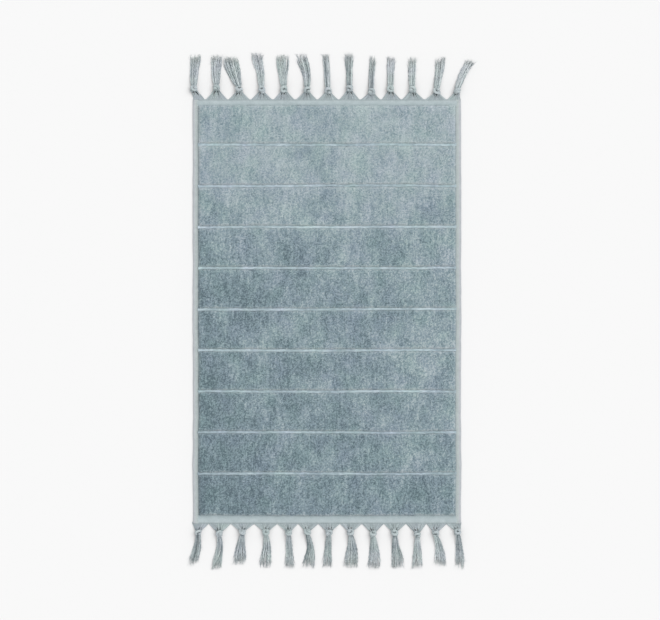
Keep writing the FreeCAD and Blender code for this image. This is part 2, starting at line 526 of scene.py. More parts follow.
def weave_material(name, deep, middle, light, pitch, strength, tones=None):
    """Plain weave: warp and weft cross over and under, with slubs and fine fibre. Each of the tones is a
    distance in from the edge, in mm, and a colour that multiplies the weave's, carrying the cloth's own tones and
    painted shade."""
    material, nodes, surface, link = shader(name, 0.9, 0.2)
    split = nodes.new("ShaderNodeSeparateXYZ")
    link(attribute(nodes, "rest").outputs["Vector"], split.inputs[0])
    waves = []
    for axis in ("X", "Y"):
        turned = math_node(nodes, link, "MULTIPLY", split.outputs[axis], math.pi / pitch)
        waves.append(math_node(nodes, link, "SINE", turned))
    checker = math_node(nodes, link, "MULTIPLY", *waves)
    over = math_node(nodes, link, "MULTIPLY", checker, 0.5)
    fine = speckle(nodes, link, 1.1, 3)
    slub = speckle(nodes, link, 0.12, 2)
    mixed = math_node(nodes, link, "MULTIPLY_ADD", over, 0.3, fine)
    patched = math_node(nodes, link, "MULTIPLY_ADD", slub, 0.5, mixed)
    centred = math_node(nodes, link, "SUBTRACT", patched, 0.25)
    colour = ramp(nodes, link, centred, colours(deep, middle, light))
    if tones:
        inset = attribute(nodes, "inset").outputs["Fac"]
        reach = math_node(nodes, link, "DIVIDE", inset, tones[-1][0])
        shades = ramp(nodes, link, reach, [(place / tones[-1][0], tone) for place, tone in tones])
        colour = product(nodes, link, colour, shades)
    link(colour, surface.inputs["Base Color"])
    relief = math_node(nodes, link, "ADD", over, fine)
    bump(nodes, link, surface, relief, strength, 0.3)
    return material


def yarn_material(name, deep, middle, light, ply_mm):
    """Two-ply yarn: the plies wind round it with painted shade in their grooves, and each yarn has its own shade."""
    material, nodes, surface, link = shader(name, 0.88, 0.4)
    split = nodes.new("ShaderNodeSeparateXYZ")
    link(attribute(nodes, "twine").outputs["Vector"], split.inputs[0])
    turned = math_node(nodes, link, "MULTIPLY", split.outputs["Z"], 2 * math.pi / ply_mm)
    left = math_node(nodes, link, "MULTIPLY", split.outputs["X"], math_node(nodes, link, "SINE", turned))
    right = math_node(nodes, link, "MULTIPLY", split.outputs["Y"], math_node(nodes, link, "COSINE", turned))
    plies = math_node(nodes, link, "ADD", left, right)
    fine = speckle(nodes, link, 1.2, 3)
    relief = math_node(nodes, link, "MULTIPLY_ADD", plies, 0.5, fine)
    # The plies paint shade in the grooves between them.
    ply_shade_and_tint = math_node(nodes, link, "MULTIPLY_ADD", plies, 0.14, attribute(nodes, "tint").outputs["Fac"])
    total = math_node(nodes, link, "MULTIPLY_ADD", fine, 0.4, ply_shade_and_tint)
    centred = math_node(nodes, link, "SUBTRACT", total, 0.2)
    colour = ramp(nodes, link, centred, colours(deep, middle, light))
    link(dyed(nodes, link, colour), surface.inputs["Base Color"])
    bump(nodes, link, surface, relief, 0.7, 0.3)
    return material


PILE = pile_material()
# Lilac-grey at the fold and green further in are the hem's own colours; the darker last stop, beside the pile, is
# painted shade.
HEM_TONES_AND_SHADE = [(0.0, (0.92, 0.89, 0.92)), (3.6, (0.98, 0.95, 0.98)), (4.6, (0.94, 0.965, 0.945)),
             (8.0, (0.975, 0.99, 0.97)), (10.0, (0.9, 0.93, 0.92))]
# Painted shade and highlight: darker at the rolled outer edge and towards the pile, palest on the swell between.
BORDER_PAINTED_SHADE = [(0.0, (0.78, 0.78, 0.78)), (1.6, (0.82, 0.82, 0.82)), (4.0, (1.0, 1.0, 1.0)),
                (8.0, (0.97, 0.98, 0.98)), (14.0, (0.84, 0.87, 0.88))]
CLOTH = weave_material("ground_weave", (0.17, 0.22, 0.24), (0.3, 0.36, 0.38), (0.42, 0.48, 0.5),
                       pitch=1.5, strength=0.6)
BORDER = weave_material("border_weave", (0.24, 0.295, 0.305), (0.37, 0.43, 0.447), (0.485, 0.545, 0.56),
                        pitch=1.3, strength=0.5, tones=BORDER_PAINTED_SHADE)
HEM = weave_material("hem_weave", (0.273, 0.307, 0.312), (0.405, 0.444, 0.454), (0.517, 0.551, 0.556),
                     pitch=1.1, strength=0.45, tones=HEM_TONES_AND_SHADE)
YARN = yarn_material("tassel_yarn", (0.1, 0.14, 0.156), (0.373, 0.43, 0.448), (0.68, 0.73, 0.73), ply_mm=3.4)
WEFT = yarn_material("rib_weft_yarn", (0.22, 0.295, 0.326), (0.385, 0.482, 0.525), (0.6, 0.688, 0.727),
                     ply_mm=2.6)
THREAD = yarn_material("hem_thread", (0.26, 0.31, 0.32), (0.4, 0.46, 0.47), (0.54, 0.59, 0.59), ply_mm=1.0)


# ---- strips from mid-band to mid-band
class Strip:
    """One length of the mat: its number, its ends along y, its bodies and the rib that it bends at."""

    def __init__(self, number):
        bands = [HEAD_PILE, *RIBS, FOOT_PILE]
        middles = [(a + b) / 2 for a, b in zip(bands[:-1], bands[1:])]
        ends = [EDGE, *middles, -EDGE]
        self.number = number
        self.high, self.low = ends[number], ends[number + 1]
        inner = 0 < number < BAND_COUNT
        self.rib = RIBS[number - 1] if inner else None
        self.bodies = (f"band_{number}", f"band_{number + 1}") if inner else None
        self.body = "band_1" if number == 0 else f"band_{BAND_COUNT}"

    def place(self, piece):
        """Bends a piece at the strip's rib, or fixes it to its band."""
        if self.bodies:
            start, end = (0, (self.rib + BEND) * MM, 0), (0, (self.rib - BEND) * MM, 0)
            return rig.blend(piece, *self.bodies, start=start, end=end)
        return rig.ride(piece, self.body)

    def rows(self, step, low=None, high=None):
        """Evenly spaced places along the strip."""
        low = self.low if low is None else low
        high = self.high if high is None else high
        return np.linspace(low, high, 1 + round((high - low) / step))


STRIPS = [Strip(number) for number in range(BAND_COUNT + 1)]


def side_wave(y):
    """How far the mat's sides stand out from straight, for its whole width."""
    return 0.7 * noise_1d(y, 95, 5) + 0.3 * noise_1d(y, 28, 6) - 0.9


def spread(x, y):
    """Moves points across the mat with its wavy sides. Below its head corner it lies a little to one side."""
    return x + side_wave(y) * x / HALF_MAT + 0.3 * smooth((360 - y) / 60)


def rib_wave(x, rib):
    """How far a rib's line wanders along the mat."""
    return 0.8 * noise_1d(x, 120, 30 + rib) + 0.3 * noise_1d(x, 22, 60 + rib)


# ---- pile
def pile_edge(x, y):
    """Distance in from the pile's nearest edge, and the direction out to that edge, across and along."""
    ragged = 0.4 * noise(x, y, 2.6, 81) + 0.4 * noise(x, y, 9, 82)
    distance = HALF_PILE - 1.3 - np.abs(x) + ragged
    out_x, out_y = np.sign(x), np.zeros_like(x)
    limits = [(HEAD_PILE + 1 + rib_wave(x, 20) - y, 1), (y - FOOT_PILE - 0.8 + rib_wave(x, 21), -1)]
    for number, rib in enumerate(RIBS):
        offset = y - rib - rib_wave(x, number)
        limits.append((np.where(offset > 0, offset - RIB_HALF, 1e3), -1))
        limits.append((np.where(offset <= 0, -offset - RIB_HALF, 1e3), 1))
    for limit, direction in limits:
        limit = limit + ragged
        closer = limit < distance
        distance = np.where(closer, limit, distance)
        out_x = np.where(closer, 0, out_x)
        out_y = np.where(closer, direction, out_y)
    return distance, out_x, out_y


def pile_height(x, y, distance, out_y):
    """Height of the pile over the cloth, its rounded rim, and the tuft and patch that a point is in."""
    gap, mark = nearest_tuft(x, y, TUFT_PITCH, 7)
    dome = 1 - np.clip(gap / 0.8, 0, 1) ** 2
    brushed = layered(x, y, 34, 11)
    rim = np.clip(distance / PILE_RIM, 0, 1)
    foot = np.where(out_y == 0, 0.45, 0.3)
    round_rim = foot + (1 - foot) * (1 - (1 - rim) ** 2.2)
    full = PILE_TOP - GROUND_TOP - 0.5 + 0.35 * brushed + 1.1 * dome + 0.7 * (mark - 0.5)
    height = np.where(distance > 0, full * round_rim, -SINK)
    return height, rim, dome, mark, brushed


def pile_shade(x, y, dome, mark, brushed, rim, out_y):
    """How pale the pile is: by tuft, by depth (painted shade low between tufts), patch, warp streak and the way that
    it has been brushed.
    """
    nap = smooth((y - 95) / 200)
    streak = noise(x, y / 5, 2.2, 15) + 0.7 * noise(x, y / 3, 7, 16)
    cloud = layered(x, y / 1.8, 62, 19)
    stroke = np.clip(noise(x, y / 5, 13, 23) * 1.6 - 0.5, 0, 1)
    side = (1 - nap) * x / HALF_PILE
    # Darker towards the foot.
    foot_darkening = 2.2 * smooth((-y - 30) / 200) + smooth((-y - 290) / 60)
    # Painted light on the pile's rims: partly paler loop tips, partly lifting the shade of the rims, most where a rim
    # faces the foot.
    rim_painted_light = np.select([out_y == 0, out_y > 0], [0.08, 0.1], 0.34) * (1 - rim)
    # The dome term paints shade low between the tufts and paler tops on them.
    detail = 0.37 * (mark - 0.5) + 0.26 * (dome - 0.5) + 0.09 * streak
    return (0.412 + 0.205 * nap + 0.085 * side - 0.033 * foot_darkening + detail * (1.15 - 0.3 * nap)
            + (0.12 * brushed + 0.13 * cloud) * (1.0 - 0.3 * nap - 0.08 * foot_darkening) + 0.09 * stroke + rim_painted_light)


def pile_skin(strip):
    """The tufted surface of one strip of pile, closed underneath within the cloth."""
    low, high = max(strip.low, FOOT_PILE - 1.5), min(strip.high, HEAD_PILE + 2.5)
    rows = strip.rows(PILE_STEP, low, high)
    half = HALF_PILE + 1.2
    columns = np.linspace(-half, half, 1 + round(2 * half / PILE_STEP))
    x, y = np.meshgrid(columns, rows)
    distance, _, out_y = pile_edge(x, y)
    height, rim, dome, mark, brushed = pile_height(x, y, distance, out_y)
    inside = np.ones_like(x)
    inside[[0, -1]] = 0
    sway_x = 0.3 * noise(x, y, 1.3, 21) * inside
    sway_y = 0.3 * noise(x, y, 1.3, 22) * inside
    points, faces = lid(spread(x, y) + sway_x, y + sway_y, GROUND_TOP + height, GROUND_TOP - 2 * SINK)
    shade = pile_shade(x, y, dome, mark, brushed, rim, out_y).ravel()
    return points, faces, np.append(shade, shade[outline(*x.shape)]) - 0.06


def tuft_ends(strip):
    """Loose yarn ends that stand in the pile and lean out over its rims: slim closed pyramids."""
    low, high = max(strip.low, FOOT_PILE - 0.5), min(strip.high, HEAD_PILE + 1.5)
    rng = np.random.default_rng(1000 + strip.number)
    count = round(TUFT_ENDS * (high - low) / 76)
    x = rng.uniform(-HALF_PILE - 0.5, HALF_PILE + 0.5, count)
    y = rng.uniform(low, high, count)
    distance, out_x, out_y = pile_edge(x, y)
    kept = distance > 0.1
    x, y, distance, out_x, out_y = (values[kept] for values in (x, y, distance, out_x, out_y))
    count = len(x)
    height, rim, dome, mark, brushed = pile_height(x, y, distance, out_y)
    lean = 0.8 * (1 - np.clip(distance / PILE_RIM, 0, 1))
    reach = rng.uniform(0.2, 0.9, count)
    tip = np.stack([
        x + rng.normal(0, 0.45, count) + out_x * lean,
        y + rng.normal(0, 0.45, count) + out_y * lean - 0.5 * brushed,
        GROUND_TOP + height + reach * (0.5 + 0.5 * rim),
    ], -1)
    foot = np.stack([x, y, GROUND_TOP + height - 1.3 - 0.4 * (1 - rim)], -1)
    turn = rng.uniform(0, 2 * np.pi, count)[:, None] + 2 * np.pi * np.arange(3) / 3
    width = rng.uniform(0.4, 0.75, count)[:, None]
    ring = foot[:, None] + np.stack([width * np.cos(turn), width * np.sin(turn), 0 * turn], -1)
    points = np.concatenate([ring, tip[:, None]], 1).reshape(-1, 3)
    points[:, 0] = spread(points[:, 0], points[:, 1])
    first = 4 * np.arange(count)[:, None]
    faces = [np.concatenate([first + side for side in ((0, 1, 3), (1, 2, 3), (2, 0, 3), (2, 1, 0))])]
    shade = pile_shade(x, y, dome, mark, brushed, rim, out_y) + rng.normal(0, 0.07, count)
    # Painted shade at each end's foot, paler at its tip.
    ends = np.array([-0.07, -0.07, -0.07, 0.1])
    return points, faces, (shade[:, None] + ends).ravel()


def make_pile(strip):
    skin_points, skin_faces, skin_shade = pile_skin(strip)
    end_points, end_faces, end_shade = tuft_ends(strip)
    faces = skin_faces + [face + len(skin_points) for face in end_faces]
    points = np.concatenate([skin_points, end_points])
    marks = {"shade": np.concatenate([skin_shade, end_shade])}
    piece = make(f"cut_pile_{strip.number}", points, faces, PILE, "pile", marks, flat=(1, 2, 3, 4))
    return strip.place(piece)


# ---- ground cloth, borders, ribs
def make_cloth(strip):
    """The flat woven ground under the pile, bare at the rib and on the underside."""
    rows = strip.rows(CLOTH_STEP)
    columns = np.linspace(-CLOTH_HALF, CLOTH_HALF, 1 + round(2 * CLOTH_HALF / CLOTH_STEP))
    x, y = np.meshgrid(columns, rows)
    bordered = (y > HEAD_PILE - 2) | (y < FOOT_PILE + 2)
    rolled = np.abs(y) > EDGE - 2.5
    top = GROUND_TOP + 0.06 * noise(x, y, 5, 40) - 0.45 * bordered - 0.15 * rolled
    bottom = np.where(rolled, 0.5, 0.06) + 0.05 * noise(x, y, 7, 41)
    points, faces = slab(spread(x, y), y, top, bottom)
    piece = make(f"ground_cloth_{strip.number}", points, faces, CLOTH, "ground_cloth", flat=(2,))
    return strip.place(piece)


def make_rib(strip):
    """The bare rib's thick weft yarns: two slack pairs over three straight ones."""
    yarns = Yarns()
    x = np.linspace(-HALF_PILE - 0.4, HALF_PILE + 0.4, 420)
    line = strip.rib + rib_wave(x, strip.number - 1)
    for turn, (place, level) in enumerate(((-1.9, 0.5), (0.0, 0.6), (1.9, 0.5), (-1.0, 1.0), (0.95, 0.96))):
        seed = 100 + 11 * strip.number + turn
        loose = 0.25 + 0.35 * (level > 0.9)
        wander = loose * noise_1d(x, 7, seed)
        height = GROUND_TOP + RIB_HEIGHT * level + 0.4 * loose * noise_1d(x, 4, seed + 40)
        path = np.stack([spread(x, line), line + place + wander, height], -1)[None]
        radius = 0.95 + 0.14 * noise_1d(x, 3, seed + 80)
        # Painted light and shade: the higher yarns paler, the ribs towards the foot darker.
        tint = 0.33 + 0.2 * level - 0.08 * smooth((-strip.rib - 100) / 150)
        tint = tint + 0.24 * noise_1d(x, 5, seed + 120) + 0.16 * noise_1d(x, 30, strip.number + 160)
        yarns.add(path, radius[None], tint, sides=8)
    return strip.place(yarns.make(f"rib_weft_{strip.number}", WEFT, "ground_cloth"))


def make_border(end):
    """The flat woven strip outside the pile: fine weft ridges, and a rolled outer edge."""
    sign = ENDS[end]
    inner = (HEAD_PILE if end == "head" else -FOOT_PILE) - 3
    out = np.linspace(inner, EDGE - 0.4, 52)
    half = HALF_PILE + 2.5
    columns = np.linspace(-half, half, 260)
    across, reach = np.meshgrid(columns, out)
    gone = np.clip((reach - EDGE + 2.2) / 1.8, 0, 1)
    round_edge = np.sqrt(1 - 0.94 * gone**2)
    ridges = 0.07 * np.cos(2 * np.pi * reach / 1.45) + 0.08 * noise(across, reach, 6, 50 + sign)
    swell = 0.5 * np.sin(np.pi * np.clip((reach - inner - 3) / (EDGE - inner - 3), 0, 1))
    puckers = 0.14 * noise(across, reach / 3, 9, 57 + sign)
    top = 1 + (GROUND_TOP + 0.1 - 1 + swell + puckers + ridges) * round_edge
    bottom = 1 - (1 - 0.02) * round_edge
    y = sign * reach + 0.35 * noise_1d(across, 40, 53 + sign) * gone
    if sign < 0:
        across, y, top, bottom, reach = (values[::-1] for values in (across, y, top, bottom, reach))
    points, faces = slab(spread(across, y), y, top, bottom)
    inset = np.tile((EDGE - reach).ravel(), 2)
    piece = make(f"{end}_border_weave", points, faces, BORDER, "border", {"inset": inset})
    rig.replaces(piece, f"{end}_border")
    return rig.ride(piece, "band_1" if end == "head" else f"band_{BAND_COUNT}")


# ---- hems
def hem_section(y, seam_dip):
    """Points round a folded selvedge at each place along y: inwards 0 at the mat's side, up in z."""
    width = HALF_MAT - HALF_PILE
    roll = HEM_TOP / 2
    turn = np.radians(np.linspace(-90, 90, 9))
    fold = [(roll - roll * math.cos(a), roll + roll * math.sin(a)) for a in turn]
    over = [(place, HEM_TOP) for place in np.linspace(roll + 0.8, width - 0.9, 8)]
    under = [(width, HEM_TOP - 0.5), (width + 0.8, HEM_TOP - 0.9), (width + 0.8, 0.3), (width - 1, 0.05)]
    section = np.array(fold + over + under)
    seam = np.exp(-(((section[:, 0] - (HALF_MAT - SEAM)) / 0.7) ** 2)) * (section[:, 1] > roll)
    inward = np.repeat(section[None, :, 0], len(y), 0)
    height = section[None, :, 1] - seam_dip[:, None] * seam[None]
    top = section[None, :, 1] / HEM_TOP
    puff = (0.16 * noise_1d(y, 17, 71) + 0.1 * noise_1d(y, 5, 72))[:, None] * top
    wave = (0.25 * noise_1d(y, 13, 73))[:, None] * (section[None, :, 0] < roll + 0.5)
    return inward + wave, np.maximum(height + puff, 0.02)


def make_hems(strip):
    """Both folded selvedges of one strip, each with a line of lockstitch."""
    y = strip.rows(0.8, max(strip.low, 0.6 - EDGE), min(strip.high, EDGE - 0.6))
    stitch = np.cos(2 * np.pi * y / THREAD_PITCH)
    inward, height = hem_section(y, 0.28 + 0.12 * stitch)
    around = inward.shape[1]
    points, faces = [], []
    for side in (-1, 1):
        x = spread(side * (HALF_MAT - inward), y[:, None])
        points.append(np.stack([x, np.repeat(y[:, None], around, 1), height], -1).reshape(-1, 3))
        start = len(faces) and len(points[0])
        index = start + np.arange(len(y) * around).reshape(len(y), around)
        after = np.roll(index, -1, axis=1)
        quads = np.stack([index[:-1], after[:-1], after[1:], index[1:]], -1).reshape(-1, 4)
        caps = np.stack([index[0, ::-1], index[-1]])
        faces += [quads[:, ::-1], caps[:, ::-1]] if side < 0 else [quads, caps]
    marks = {"inset": np.tile(inward.ravel(), 2)}
    piece = make(f"side_hem_cloth_{strip.number}", np.concatenate(points), faces, HEM, "hem", marks)
    strip.place(piece)
    return piece, strip.place(make_stitches(strip, y))


def make_stitches(strip, y):
    """The stitches of both hems: short slanted loops of thread that dip into the cloth at each end."""
    yarns = Yarns()
    centres = np.arange(y[0] + THREAD_PITCH, y[-1] - THREAD_PITCH / 2, THREAD_PITCH)
    share = np.linspace(-1, 1, 7)
    for side in (-1, 1):
        along = centres[:, None] + share * THREAD_PITCH * 0.42
        x = spread(side * SEAM + 0.12 * share[None] + 0 * along, along)
        z = HEM_TOP - 0.02 - 0.34 * share[None] ** 2 + 0 * along + 0.16 * noise_1d(along, 17, 71)
        paths = np.stack([x, along, z], -1)
        radii = np.full(paths.shape[:2], THREAD_RADIUS)
        yarns.add(paths, radii, np.full(len(centres), 0.6), sides=6)
    return yarns.make(f"hem_stitches_{strip.number}", THREAD, "hem")


# ---- tassels
GATHER_YARNS = 36
SKIRT_YARNS = 6.2  # for each mm of half the skirt's width
SKIRT_CLUMPS = 0.95
SKIRT_POINTS = 32
STRAY_FIBRES = 60
KNOT_STRANDS = 10
KNOT_MIDDLE = 6.2  # height of the knot's middle
YARN_RADIUS = 0.6
CEILING = 8.0  # no loose fibre stands higher
OVERHANG = 4.0  # how far past the CAD solid's tip a fibre may end

# By end: how much narrower than its root a gather starts, and the power that it narrows by.
GATHER_SHAPES = {"head": (1.6, 1.15), "foot": (0.2, 0.95)}
# Half the skirt's width below the knot, how fast it opens, and how much narrower than the CAD solid it is.
SKIRT_SHAPES = {"head": (4.6, 1.7, 2.2), "foot": (3.6, 1.25, 1.5)}
SKIRT_FLARES = {"head": 0.2, "foot": 0.5}  # how far its sides turn out at the tip
SKIRT_SHADES = {"head": (0.235, 0.08), "foot": (0.155, 0.16)}  # how pale it starts, and its middle's loss

# How far each skirt bows towards +x, in mm, and the side on which the knot's slack loop stands out.
BOWS = {
    "head": (-1, -1, -1, 1, 0, 3, 0, 0, -1, 0, -1, 0, -2),
    "foot": (2, 3, 0, 2, 0, 4, 0, 2, 1, 0, 0, 2, 1),
}
LOOPS = {
    "head": (-1, 0, 1, 0, 1, 0, 1, 0, 1, 0, 1, 1, 0),
    "foot": (0, 0, -1, -1, 0, -1, -1, -1, 0, -1, 0, -1, 0),
}
# By end and tassel, in mm: where a strand that has come away ends, how much longer the -x side is, how far
# the tip lies from the CAD solid's, and how much wider the skirt is to each side.
STRAYED = {"head": {4: -4, 5: 3, 6: -3, 8: -2}, "foot": {6: -2, 10: 4}}
SLANTS = {"head": {2: -2, 9: -2, 11: -3, 12: -4}, "foot": {1: 7, 13: -3}}
SHIFTS = {"head": {1: 2, 3: 1, 4: 2, 5: -1, 6: 2}, "foot": {1: 5}}
FLARES = {"head": {1: 0.7, 2: 0.7, 3: 3, 8: 0.5}, "foot": {8: 0.8, 9: 0.6}}


class Tassel:
    """One tassel's measures, read from its CAD node. Places run out from the cloth's edge, in mm."""

    def __init__(self, end, number):
        self.end, self.number = end, number
        self.name = f"{end}_tassel_{number}"
        self.sign = ENDS[end]
        node = frame["nodes"][self.name]
        points = np.empty(3 * len(node.data.vertices))
        node.data.vertices.foreach_get("co", points)
        points = points.reshape(-1, 3) / MM
        out = self.sign * points[:, 1] - EDGE
        root = points[out < 0.3]
        crown = points[points[:, 2] > points[:, 2].max() - 0.05]
        tip = points[out > out.max() - 0.3]
        self.left, self.right = root[:, 0].min(), root[:, 0].max()
        self.knot = np.array([crown[:, 0].mean(), self.sign * crown[:, 1].mean() - EDGE, KNOT_MIDDLE])
        self.tip = np.array([tip[:, 0].mean() + SHIFTS[end].get(number, 0), out.max()])
        self.half_tip = np.ptp(tip[:, 0]) / 2 + FLARES[end].get(number, 0)
        self.rng = np.random.default_rng(number + (500 if end == "head" else 900))
        self.yarn_count = round(SKIRT_YARNS * self.half_tip)
        self.clumps = round(SKIRT_CLUMPS * self.half_tip)
        self.bow = BOWS[end][number - 1]
        self.loop = LOOPS[end][number - 1]
        self.strayed = STRAYED[end].get(number, 0)
        self.slant = SLANTS[end].get(number, 0)

    def to_world(self, paths):
        """Turns places across, out and up into the mat's frame."""
        x, out, z = paths[..., 0], paths[..., 1], paths[..., 2]
        return np.stack([x, self.sign * (EDGE + out), z], -1)

    def gather_half(self, gone):
        """Half the gather's width, from full at the cloth's edge to the knot's."""
        root = (self.right - self.left) / 2 - YARN_RADIUS / 2
        inset, power = GATHER_SHAPES[self.end]
        return 5.0 + (root - 5.0 - inset) * (1 - gone) ** power

    def gather(self, yarns):
        """Warp yarns drawn together from the cloth's edge into the knot, with folds between them."""
        rng = self.rng
        share = round(GATHER_YARNS * (self.right - self.left) / 41)
        side = np.linspace(-1, 1, share) + rng.normal(0, 0.01, share)
        layer = rng.permutation(np.linspace(-1, 1, share))
        run = np.linspace(-0.25, 1.0, 20)
        gone = np.clip(run, 0, 1)
        middle = (self.left + self.right) / 2
        half = self.gather_half(np.clip(gone / 0.76, 0, 1)) * (1 - 0.42 * smooth((gone - 0.76) / 0.24))
        centre = middle + (self.knot[0] - middle) * smooth(gone) ** 0.8
        across = centre + side[:, None] * half
        thick = 0.3 + 2.2 * smooth(gone) ** 1.3
        round_off = np.sqrt(np.clip(1 - side**2, 0.05, 1))[:, None]
        height = 1 + 4.2 * smooth(gone) ** 1.2 + layer[:, None] * thick * (1 - gone * (1 - round_off))
        upper = (layer > -0.35)[:, None]
        for fold, size in zip(rng.permutation((-0.42, 0.05, 0.45))[:2] + rng.normal(0, 0.07, 2), (1.0, 0.7)):
            near = np.exp(-(((side - fold) / 0.24) ** 2))[:, None]
            here = size * np.exp(-(((run - rng.uniform(0.56, 0.66)) / 0.2) ** 2))
            height = height + np.where(upper, 1.3, -5.5) * near * here
            across = across + 2.2 * upper * np.sign(side - fold)[:, None] * near * here
        across = across + 0.16 * noise(side[:, None] * 60, run * 22, 3, self.number + 700)
        out = run * self.knot[1] + 0 * across
        height = np.maximum(height, YARN_RADIUS + 0.05)
        radii = np.full(across.shape, YARN_RADIUS * 1.08)
        paths = self.to_world(np.stack([across, out, height], -1))
        # Painted shade: lower yarns darker, and all darker towards the knot.
        tint = (rng.uniform(0.31, 0.53, share) + 0.08 * layer)[:, None] - 0.26 * smooth((run - 0.5) / 0.2)
        yarns.add(paths, radii, tint)

    def bundle(self, yarns, centre, outward, reach, radius, strands, twist):
        """Strands wound round a bundle's centre line, thin where it starts and ends."""
        rng = self.rng
        along = np.gradient(centre, axis=0)
        along /= np.linalg.norm(along, axis=1, keepdims=True)
        outward = outward - (outward * along).sum(1, keepdims=True) * along
        outward /= np.linalg.norm(outward, axis=1, keepdims=True)
        sideways = np.cross(along, outward)
        share = np.linspace(0, 1, len(centre))
        paths = []
        for strand in range(strands):
            angle = twist * share + 2 * np.pi * (strand + rng.uniform(-0.15, 0.15)) / strands
            away = reach * (1 + 0.08 * rng.normal())
            wound = np.cos(angle)[:, None] * outward + np.sin(angle)[:, None] * sideways
            paths.append(centre + away * wound)
        paths = np.array(paths)
        paths[..., 2] = np.maximum(paths[..., 2], radius + 0.05)
        taper = radius * (0.4 + 0.6 * smooth(share / 0.1) * smooth((1 - share) / 0.1))
        raised = (paths[..., 2] - centre[:, 2]) / reach
        # Painted light and shade: strands on top of the bundle paler, those under it darker.
        tints = rng.uniform(0.34, 0.52, (strands, 1)) + 0.13 * raised
        yarns.add(self.to_world(paths), np.repeat(taper[None], strands, 0), tints, sides=7)

    def tie(self, yarns):
        """The overhand knot: a twisted bundle wound about twice round the neck, and its slack loop."""
        rng = self.rng
        hand = rng.choice([-1, 1])
        share = np.linspace(0, 1, 64)
        turns = rng.uniform(1.6, 2.1)
        turn = np.pi / 2 + 2 * np.pi * hand * turns * (share - rng.uniform(0.38, 0.62))
        swell = smooth(share / 0.13) * smooth((1 - share) / 0.13)
        radius = 0.6 + 3.7 * swell * (1 - 0.2 * (2 * share - 1) ** 2)
        tilt = rng.choice([-1, 1]) * np.radians(rng.uniform(22, 50))
        lean = (self.tip[0] - self.knot[0]) / (self.tip[1] - self.knot[1])
        rise = np.array([0, np.sin(tilt), np.cos(tilt)])
        axis = np.array([0.6 * lean, np.cos(tilt), -np.sin(tilt)])
        outward = np.cos(turn)[:, None] * (1, 0, 0) + np.sin(turn)[:, None] * rise
        slide = 4.7 * (2 * share - 1) + 0.8 * np.sin(turn + rng.uniform(0, 6))
        centre = self.knot + radius[:, None] * outward + slide[:, None] * axis
        centre[:, 2] -= 3.5 * (1 - swell)
        self.bundle(yarns, centre, outward, 1.75, 0.85, KNOT_STRANDS, 2.6 * np.pi * hand)
        if self.loop:
            bend = np.radians(np.linspace(-125, 125, 24))
            ring = np.stack([
                self.knot[0] + self.loop * (3.4 + 2.5 * np.cos(bend)),
                self.knot[1] - 2.8 + 2.7 * np.sin(bend),
                6.6 - 1.2 * np.cos(bend),
            ], -1)
            away = np.stack([self.loop * np.cos(bend), np.sin(bend), 0 * bend], -1)
            self.bundle(yarns, ring, away, 0.75, 0.62, 4, 1.6 * np.pi)

    def skirt_half(self, run):
        """Half the skirt's width: it opens at once below the knot and more slowly after."""
        start, power, narrow = SKIRT_SHAPES[self.end]
        width = start + (self.half_tip - narrow - start) * (1 - (1 - run) ** power)
        return 2.6 + (width - 2.6) * smooth(run / 0.12)

    def skirt_paths(self, count):
        """Yarns that leave the knot in clumps, spread to the tip's width and lie down on each other."""
        rng = self.rng
        clump = np.arange(count) % self.clumps
        places = np.linspace(-0.9, 0.9, self.clumps) + rng.normal(0, 0.04, self.clumps)
        side = np.clip(places[clump] + rng.normal(0, 0.8, count) / self.clumps, -1, 1)
        level = rng.uniform(0, 1, count)
        run = np.linspace(0, 1, SKIRT_POINTS)
        total = self.tip[1] - self.knot[1] - 2.5
        travel = run * total
        centre = self.knot[0] + (self.tip[0] - self.knot[0]) * run + self.bow * np.sin(np.pi * run)
        phase = rng.uniform(0, 2 * np.pi, (3, count, 1))
        pitch = rng.uniform(5.5, 13, (2, count, 1))
        loose = 0.3 + 0.7 * smooth(run * 1.4)
        sway = 0.5 * loose * np.sin(2 * np.pi * travel / pitch[0] + phase[0])
        lift = 0.35 * loose * np.sin(2 * np.pi * travel / pitch[1] + phase[1])
        wave = rng.uniform(0, 2 * np.pi, self.clumps)[clump][:, None]
        long_wave = rng.uniform(30, 55, self.clumps)[clump][:, None]
        sway = sway + 0.5 * run * np.sin(2 * np.pi * travel / long_wave + wave)
        drift = rng.normal(0, 0.5, count)[:, None] * run**2
        leader = 0 if self.strayed < 0 else self.clumps - 1
        parting = self.strayed * smooth((run - 0.3) / 0.7) ** 1.3 * (clump == leader)[:, None]
        flare = SKIRT_FLARES[self.end] * side[:, None] * smooth((run - 0.65) / 0.35)
        across = centre + side[:, None] * self.skirt_half(run) + flare + sway + drift + parting
        clump_short = rng.uniform(0, 0.12, self.clumps)[clump]
        yarn_short = 0.27 * rng.uniform(0, 1, count) ** 1.5
        reach = (1 - (clump_short + yarn_short) * (1 - 0.3 * side**2)
                 - abs(self.slant) / total * (1 + np.sign(self.slant) * side) / 2)
        out = self.knot[1] + 2.5 + travel * reach[:, None]
        fall = smooth(run / 0.6)
        crest = np.sqrt(np.clip(1 - side**2, 0.08, 1))
        heap = YARN_RADIUS + 3.6 * level * crest
        neck = self.knot[2] - 0.9 + 2.1 * (2 * level - 1) * crest
        height = neck[:, None] * (1 - fall) + heap[:, None] * fall + lift
        return np.stack([across, out, height], -1), level, clump

    def skirt(self, yarns):
        rng = self.rng
        count = self.yarn_count
        paths, level, clump = self.skirt_paths(count)
        paths[..., 2] = np.maximum(paths[..., 2], YARN_RADIUS + 0.03)
        run = np.linspace(0, 1, SKIRT_POINTS)
        radii = YARN_RADIUS * (1.0 - 0.12 * run) * rng.uniform(0.8, 1.12, (count, 1))
        radii[:, -3:] *= (0.9, 0.7, 0.35)
        shades = rng.normal(0, 0.08, self.clumps)[clump]
        pale, core = SKIRT_SHADES[self.end]
